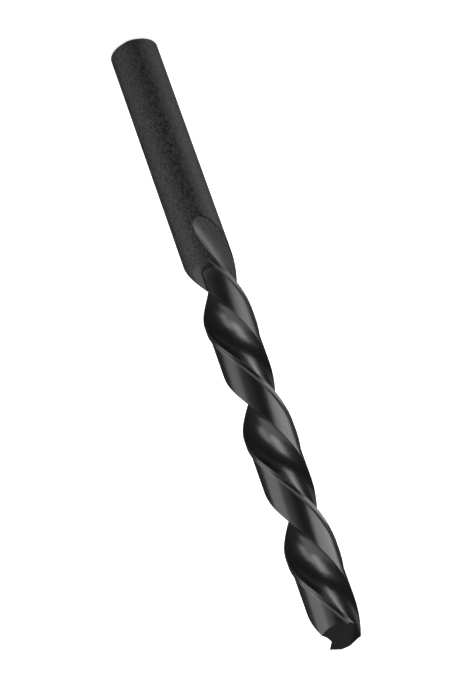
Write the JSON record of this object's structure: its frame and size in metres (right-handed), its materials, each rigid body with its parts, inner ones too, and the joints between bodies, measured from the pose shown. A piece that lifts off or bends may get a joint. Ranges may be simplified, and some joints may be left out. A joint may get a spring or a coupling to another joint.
{
  "type": "twist drill bit",
  "caption": "Left-hand jobber twist drill with a plain round shank, helical flutes, narrow margins and a thinned point.",
  "frame": {"origin": "centre of the flat face at the shank end, on which the drill stands", "axes": "+Z along the drill's axis from the shank end to the point; the two lips run along +X and -X"},
  "size_m": [0.009, 0.009, 0.125],
  "materials": {
    "blackened_steel": "steam-tempered black oxide, satin"
  },
  "bodies": {
    "root": {"twist_drill": "blackened_steel"}
  },
  "joints": []
}
